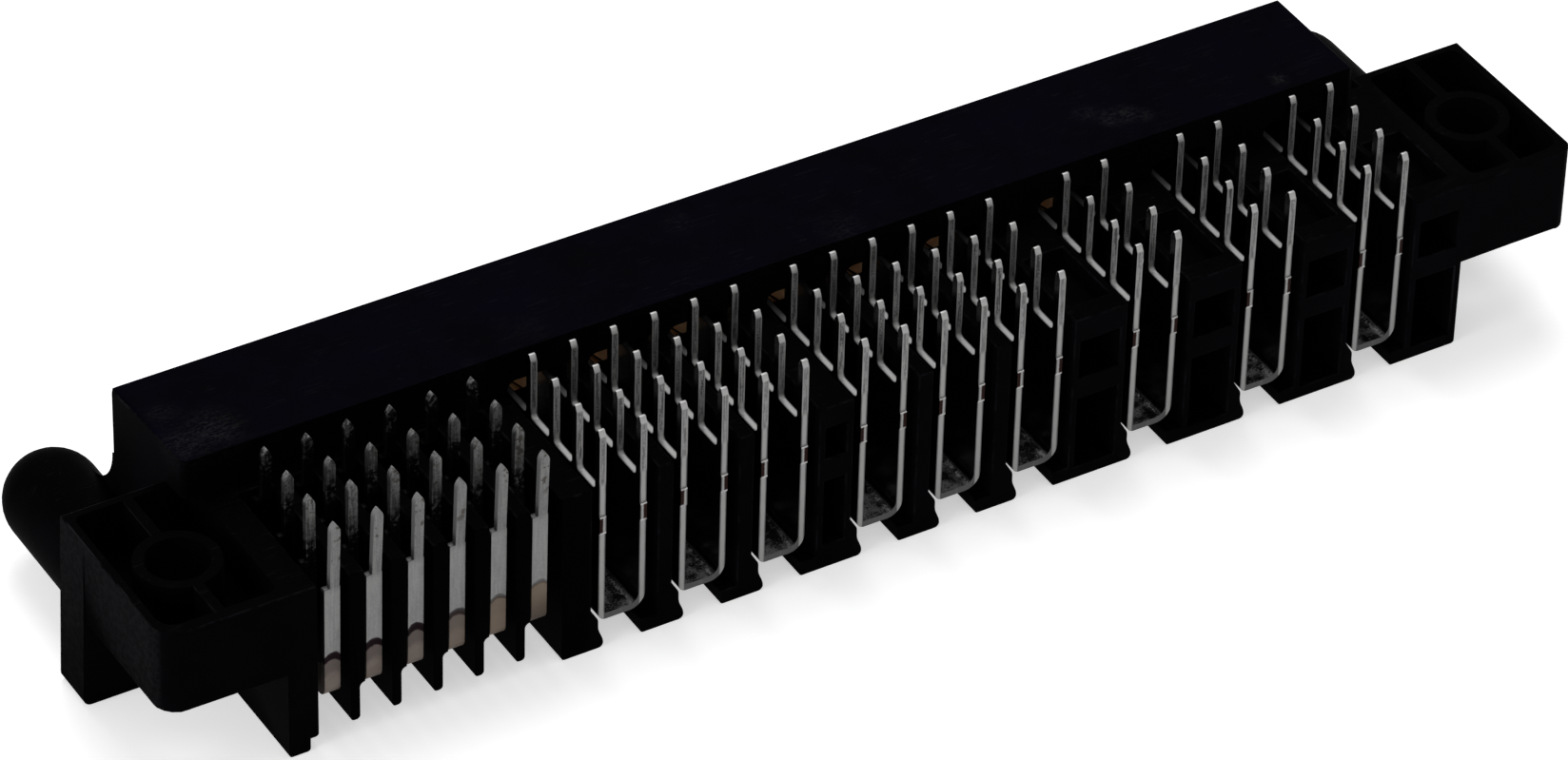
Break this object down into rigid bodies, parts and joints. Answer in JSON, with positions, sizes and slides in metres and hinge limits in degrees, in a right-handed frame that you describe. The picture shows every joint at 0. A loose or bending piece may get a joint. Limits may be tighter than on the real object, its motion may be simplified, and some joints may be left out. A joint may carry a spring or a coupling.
{
  "type": "right-angle board connector",
  "caption": "Right-angle power and signal connector for a circuit board, with solder tails, two screw ears and round guide posts.",
  "frame": {"origin": "middle of the part's box in X and Y, at the level of the feet of the comb walls and the flanges", "axes": "+X along the row of contacts from the signal end to the power end, +Y towards the mating face, +Z from the feet to the board seat and the solder tails"},
  "size_m": [0.0912, 0.0244, 0.0147],
  "materials": {
    "black_moulding": "matt moulded, glass-filled, scuffed on the mating block and the left ear",
    "power_tin": "tin plate over copper alloy, bright sheared edges, copper-coloured inside the block",
    "signal_tin": "satin tin plate over copper alloy, dull tan towards the bend"
  },
  "bodies": {
    "root": {"housing": "black_moulding", "power_contact_1": "power_tin", "power_contact_2": "power_tin", "power_contact_3": "power_tin", "power_contact_4": "power_tin", "power_contact_5": "power_tin", "power_contact_6": "power_tin", "power_contact_7": "power_tin", "power_contact_8": "power_tin", "power_contact_9": "power_tin", "signal_contact_c1_r1": "signal_tin", "signal_contact_c1_r2": "signal_tin", "signal_contact_c1_r3": "signal_tin", "signal_contact_c1_r4": "signal_tin", "signal_contact_c2_r1": "signal_tin", "signal_contact_c2_r2": "signal_tin", "signal_contact_c2_r3": "signal_tin", "signal_contact_c2_r4": "signal_tin", "signal_contact_c3_r1": "signal_tin", "signal_contact_c3_r2": "signal_tin", "signal_contact_c3_r3": "signal_tin", "signal_contact_c3_r4": "signal_tin", "signal_contact_c4_r1": "signal_tin", "signal_contact_c4_r2": "signal_tin", "signal_contact_c4_r3": "signal_tin", "signal_contact_c4_r4": "signal_tin", "signal_contact_c5_r1": "signal_tin", "signal_contact_c5_r2": "signal_tin", "signal_contact_c5_r3": "signal_tin", "signal_contact_c5_r4": "signal_tin", "signal_contact_c6_r1": "signal_tin", "signal_contact_c6_r2": "signal_tin", "signal_contact_c6_r3": "signal_tin", "signal_contact_c6_r4": "signal_tin"}
  },
  "joints": []
}
